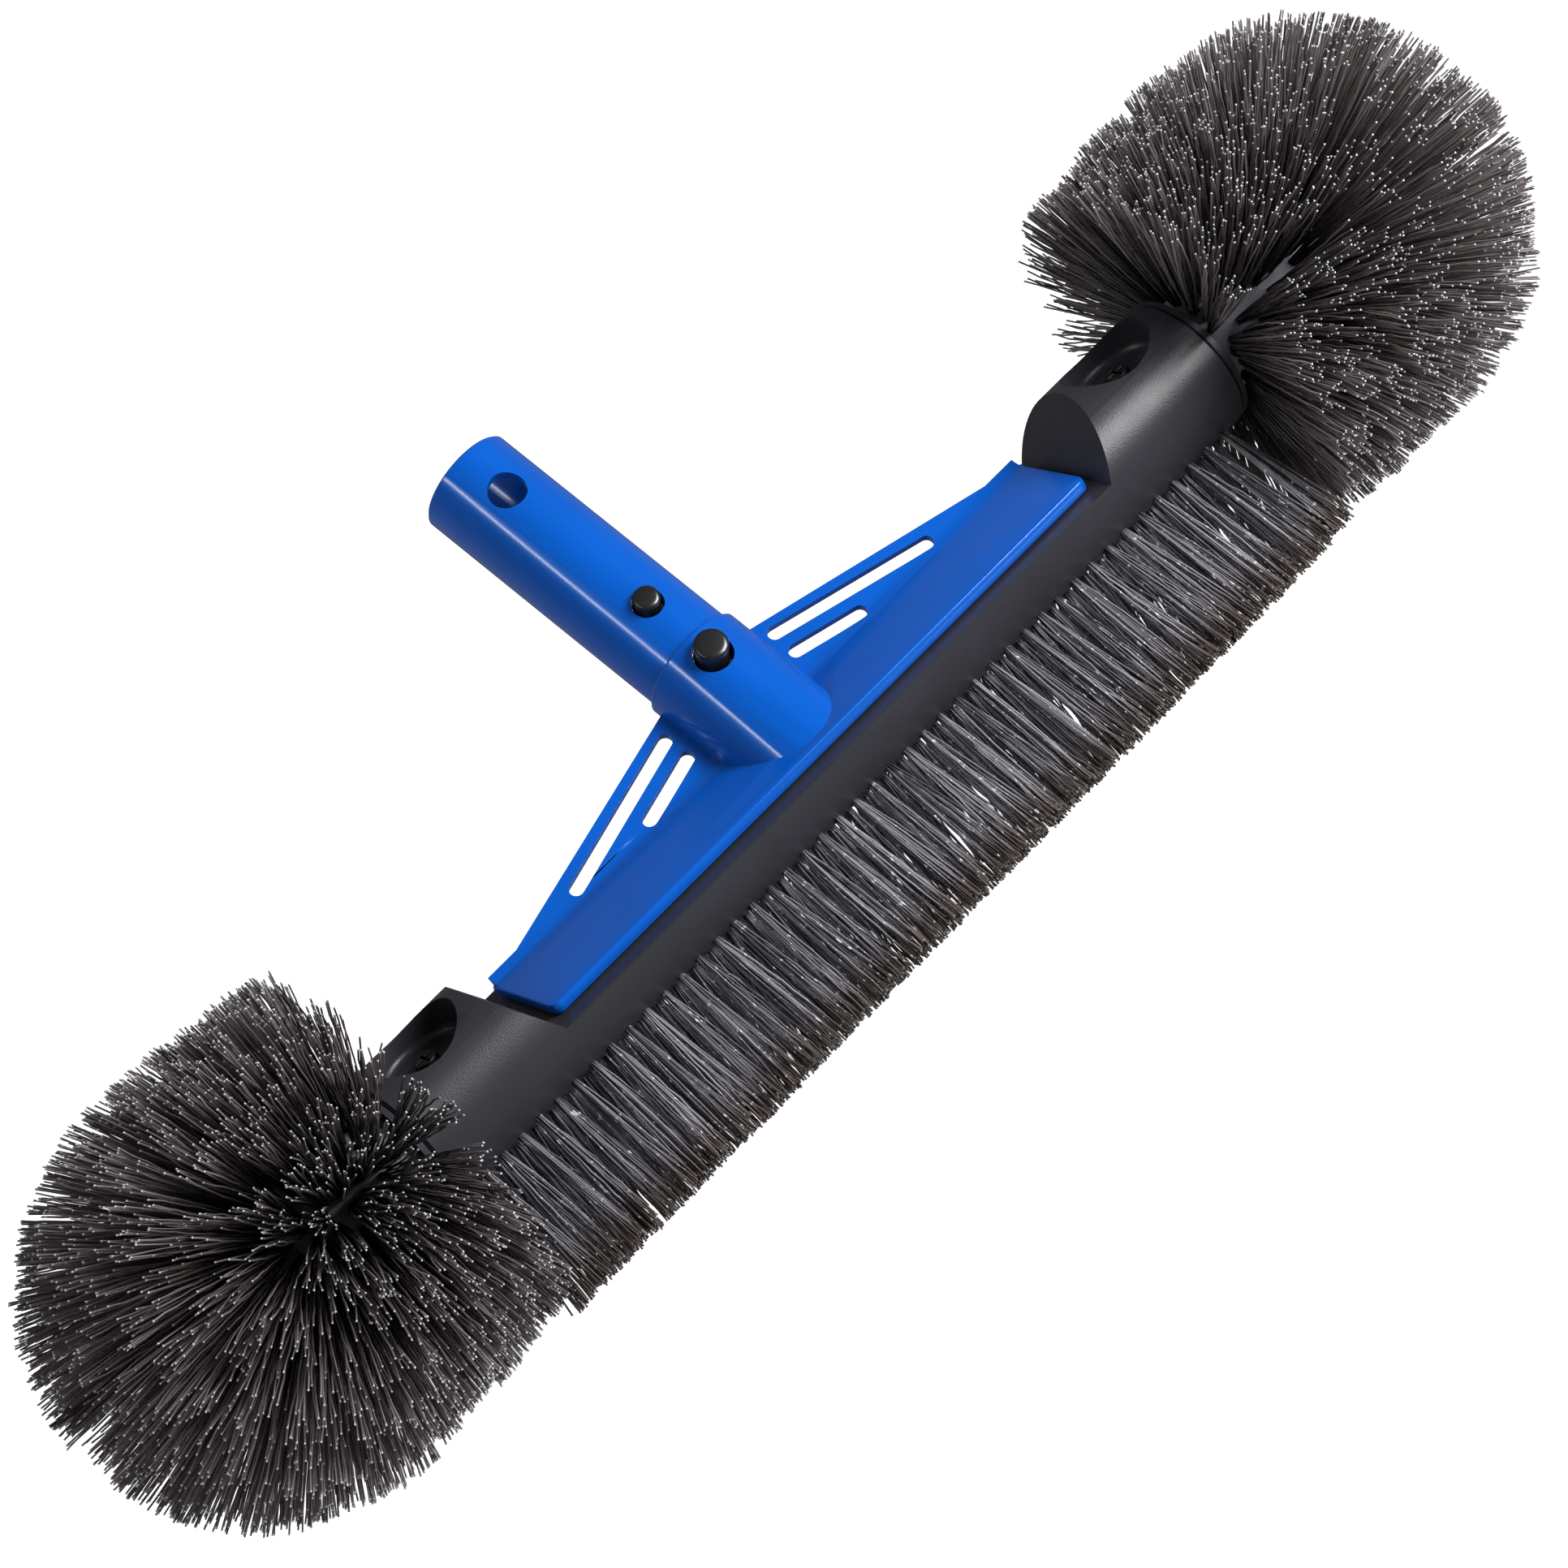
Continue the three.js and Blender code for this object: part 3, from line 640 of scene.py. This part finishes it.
class POOLBRUSH_OT_bracket(Operator):
    """Finish the pole bracket in blue plastic."""

    bl_idname = "poolbrush.bracket"
    bl_label = "Pole bracket"

    def execute(self, context):
        look = context.scene.pool_brush_plastic
        plastic = moulded_plastic(
            "bracket_plastic", tuple(look.bracket_colour),
            rough=0.32, grain_scale=1500, grain_depth=0.00003, mottle=0.04,
            specular=0.3, coat=1.0, tint_of_gloss=(0.05, 0.4, 1),
        )
        skin("pole_bracket", plastic, "brush", look.edge_round)
        return {"FINISHED"}


class POOLBRUSH_OT_clip(Operator):
    """Finish the spring clip and its four buttons."""

    bl_idname = "poolbrush.clip"
    bl_label = "Snap clip"

    def execute(self, context):
        look = context.scene.pool_brush_plastic
        strip = steel("clip_steel", (0.62, 0.63, 0.65), rough=0.28)
        black = moulded_plastic(
            "button_plastic", tuple(look.button_colour),
            rough=0.24, grain_scale=1200, grain_depth=0.00002, mottle=0.06,
        )
        skin("clip_bend", strip, "brush", 0)
        for tag in ("front", "rear"):
            skin(f"clip_arm_{tag}", strip, f"{tag}_arm", 0.0002)
            skin(f"lock_button_{tag}", black, f"{tag}_arm", 0.0002)
            skin(f"release_button_{tag}", black, f"{tag}_arm", 0.0002)
        return {"FINISHED"}


class POOLBRUSH_OT_cores(Operator):
    """Finish the heads' cores and the screws that hold them."""

    bl_idname = "poolbrush.cores"
    bl_label = "Head cores"

    def execute(self, context):
        look = context.scene.pool_brush_plastic
        plastic = moulded_plastic(
            "core_plastic", tuple(look.core_colour),
            rough=0.35, grain_scale=2400, grain_depth=0.0001, mottle=0.1,
        )
        dark = moulded_plastic(
            "socket_plastic", tuple(look.body_colour),
            rough=0.45, grain_scale=2400, grain_depth=0.0001, mottle=0.1, specular=0.2,
        )
        screw = steel("screw_steel", (0.05, 0.05, 0.052), rough=0.4)
        for side, tag in ((-1, "left"), (1, "right")):
            skin(f"head_core_{tag}", dark, "brush", 0.0003)
            nose = core_surface(f"head_core_{tag}_nose", side)
            add_piece(f"head_core_{tag}_nose", nose, plastic, "brush", f"head_core_{tag}")
            skin(f"head_screw_{tag}", screw, "brush", 0.00015)
        return {"FINISHED"}


class POOLBRUSH_OT_rows(Operator):
    """Plant the straight rows' filaments."""

    bl_idname = "poolbrush.rows"
    bl_label = "Straight rows"

    def execute(self, context):
        settings = context.scene.pool_brush_bristles
        main, end = tuple(settings.row_colour), tuple(settings.row_end_colour)
        # The ramp along each filament darkens the roots by the body as painted shade, then runs to the row end
        # colour near the trimmed edge.
        fibre = nylon("row_nylon", [
            (0.0, shade(main, 0.35)), (0.06, shade(main, 0.9)), (0.7, main), (0.9, end),
        ], glint=0.7)
        for seed, (tag, angle) in enumerate(ROWS.items()):
            rng = np.random.default_rng(100 + seed)
            root, tip, bow = row_strands(angle, settings, rng)
            mesh = filament_mesh(f"row_{tag}_filaments", root, tip, bow, settings, rng)
            add_piece(
                f"row_{tag}_filaments", mesh, fibre, "brush", f"bristle_row_{tag}",
            )
        return {"FINISHED"}


class POOLBRUSH_OT_heads(Operator):
    """Plant the round heads' filaments."""

    bl_idname = "poolbrush.heads"
    bl_label = "Round heads"

    def execute(self, context):
        settings = context.scene.pool_brush_bristles
        main, end = tuple(settings.head_colour), tuple(settings.cut_end_highlight_colour)
        # The ramp along each filament paints light and shade: the nearly black roots are painted shade deep
        # inside the head, the outer part is made lighter as painted light, and the cut ends get a pale painted
        # highlight.
        fibre = nylon("head_nylon", [
            (0.0, shade(main, 0.03)), (0.3, shade(main, 0.38)), (0.6, shade(main, 0.9)),
            (0.9, shade(main, 1.2)), (1 - 0.95 * BURR_SHARE, shade(main, 1.2)),
            (1 - 0.6 * BURR_SHARE, end),
        ], glint=0.1)
        seed = 200
        for side, hand in ((-1, "left"), (1, "right")):
            for tag, span in RINGS.items():
                seed += 1
                rng = np.random.default_rng(seed)
                root, tip, bow = head_strands(side, span, settings, rng)
                mesh = filament_mesh(f"head_{hand}_{tag}_filaments", root, tip, bow, settings, rng)
                add_piece(
                    f"head_{hand}_{tag}_filaments", mesh, fibre, "brush",
                    f"head_bristles_{tag}_{hand}",
                )
        return {"FINISHED"}


def camera_axes():
    """The camera's right, up and backward directions from its azimuth, elevation and roll."""
    a, e, r = (math.radians(v) for v in (CAMERA_AZIMUTH, CAMERA_ELEVATION, CAMERA_ROLL))
    back = Vector((math.sin(a) * math.cos(e), -math.cos(a) * math.cos(e), math.sin(e)))
    level = (-back).cross(Vector((0, 0, 1))).normalized()
    upright = level.cross(-back)
    right = math.cos(r) * level - math.sin(r) * upright
    up = math.sin(r) * level + math.cos(r) * upright
    return right, up, back


def add_area(name, aim, towards, distance, size, size_y, power, turn_to=None):
    """A rectangular light at a distance from aim, facing it, its long side along turn_to."""
    data = bpy.data.lights.new(name, "AREA")
    data.shape = "RECTANGLE"
    data.size = size
    data.size_y = size_y
    data.energy = power
    lamp = bpy.data.objects.new(name, data)
    bpy.context.scene.collection.objects.link(lamp)
    back = towards.normalized()
    long_side = (turn_to or Vector((0, 0, 1))).normalized()
    along = (long_side - back * long_side.dot(back)).normalized()
    across = along.cross(back)
    turn = Matrix((across, along, back)).transposed().to_4x4()
    lamp.matrix_world = Matrix.Translation(aim + back * distance) @ turn
    return lamp


class POOLBRUSH_OT_stage(Operator):
    """Set up the pale floor, the soft lights and the camera."""

    bl_idname = "poolbrush.stage"
    bl_label = "Stage"

    def execute(self, context):
        scene = context.scene
        settings = scene.pool_brush_stage
        corners = np.array([[-1.0, -1, 0], [1, -1, 0], [1, 1, 0], [-1, 1, 0]]) * FLOOR_HALF
        corners[:, 2] = CAD_BOX[0][2] - FLOOR_GAP
        mesh = mesh_from_arrays("floor", corners, np.array([[0, 1, 2, 3]]), np.zeros((0, 3), dtype=int))
        floor = bpy.data.objects.new("floor", mesh)
        scene.collection.objects.link(floor)
        material, nodes, links, shader = new_material("floor_paper")
        shader.inputs["Base Color"].default_value = (0.2, 0.2, 0.2, 1)
        shader.inputs["Roughness"].default_value = 0.9
        shader.inputs["Specular IOR Level"].default_value = 0
        shader.inputs["Emission Color"].default_value = (1, 1, 1, 1)
        shader.inputs["Emission Strength"].default_value = settings.floor_glow
        mesh.materials.append(material)
        floor.visible_glossy = False

        right, up, back = camera_axes()
        aim = Vector(CAMERA_AIM)
        data = bpy.data.cameras.new("camera")
        data.lens = CAMERA_LENS_MM
        data.sensor_width = 36
        data.clip_end = 30
        camera = bpy.data.objects.new("camera", data)
        scene.collection.objects.link(camera)
        pose = Matrix((right, up, back)).transposed().to_4x4()
        camera.matrix_world = Matrix.Translation(aim + back * CAMERA_DISTANCE) @ pose
        scene.camera = camera

        add_area("key", aim, Vector((0.6, -0.68, 0.42)), 1.5, 0.8, 0.8, settings.key_power)
        fill = add_area("fill", aim, Vector((-0.25, 0.9, 0.42)), 1.6, 1.2, 1.2, settings.fill_power)
        fill.visible_glossy = False
        tube_up = Vector((0, math.sin(POLE_LEAN), math.cos(POLE_LEAN)))
        tube_middle = Vector((0, 0.061, 0.107))
        mirror = Vector((-0.76, -0.153, 0.63))
        add_area("line", tube_middle, mirror, 1.7, 0.06, 1.4, settings.line_power, tube_up)

        world = bpy.data.worlds.new("studio")
        scene.world = world
        world.use_nodes = True
        world.node_tree.nodes["Background"].inputs["Color"].default_value = (1, 1, 1, 1)
        world.node_tree.nodes["Background"].inputs["Strength"].default_value = settings.sky_glow
        scene.view_settings.view_transform = "Standard"
        return {"FINISHED"}


class POOLBRUSH_PT_panel(Panel):
    """Steps and settings of the pool wall brush."""

    bl_idname = "POOLBRUSH_PT_panel"
    bl_label = "Pool brush"
    bl_space_type = "VIEW_3D"
    bl_region_type = "UI"
    bl_category = "Pool brush"

    def draw(self, context):
        for operator in OPERATORS:
            self.layout.operator(operator.bl_idname)
        for group, names in SETTINGS.items():
            box = self.layout.box()
            for name in names:
                box.prop(getattr(context.scene, group), name)


OPERATORS = (
    POOLBRUSH_OT_body,
    POOLBRUSH_OT_bracket,
    POOLBRUSH_OT_clip,
    POOLBRUSH_OT_cores,
    POOLBRUSH_OT_rows,
    POOLBRUSH_OT_heads,
    POOLBRUSH_OT_stage,
)
GROUPS = (BristleSettings, PlasticSettings, StageSettings)
SETTINGS = {
    "pool_brush_bristles": (
        "thick", "burr", "crimp_height", "crimp_length", "row_filaments", "head_filaments", "head_pitch",
        "head_spread", "row_colour", "row_end_colour", "head_colour", "cut_end_highlight_colour",
    ),
    "pool_brush_plastic": ("body_colour", "core_colour", "bracket_colour", "button_colour", "edge_round"),
    "pool_brush_stage": ("floor_glow", "sky_glow", "key_power", "fill_power", "line_power"),
}


def register():
    """Registers the settings, operators and panel."""
    for cls in (*GROUPS, *OPERATORS, POOLBRUSH_PT_panel):
        bpy.utils.register_class(cls)
    bpy.types.Scene.pool_brush_bristles = PointerProperty(type=BristleSettings)
    bpy.types.Scene.pool_brush_plastic = PointerProperty(type=PlasticSettings)
    bpy.types.Scene.pool_brush_stage = PointerProperty(type=StageSettings)


def unregister():
    """Takes them away again."""
    del bpy.types.Scene.pool_brush_bristles
    del bpy.types.Scene.pool_brush_plastic
    del bpy.types.Scene.pool_brush_stage
    for cls in reversed((*GROUPS, *OPERATORS, POOLBRUSH_PT_panel)):
        bpy.utils.unregister_class(cls)


def main():
    """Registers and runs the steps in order."""
    register()
    bpy.ops.poolbrush.body()
    bpy.ops.poolbrush.bracket()
    bpy.ops.poolbrush.clip()
    bpy.ops.poolbrush.cores()
    bpy.ops.poolbrush.rows()
    bpy.ops.poolbrush.heads()
    bpy.ops.poolbrush.stage()
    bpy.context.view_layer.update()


if __name__ == "__main__":
    main()
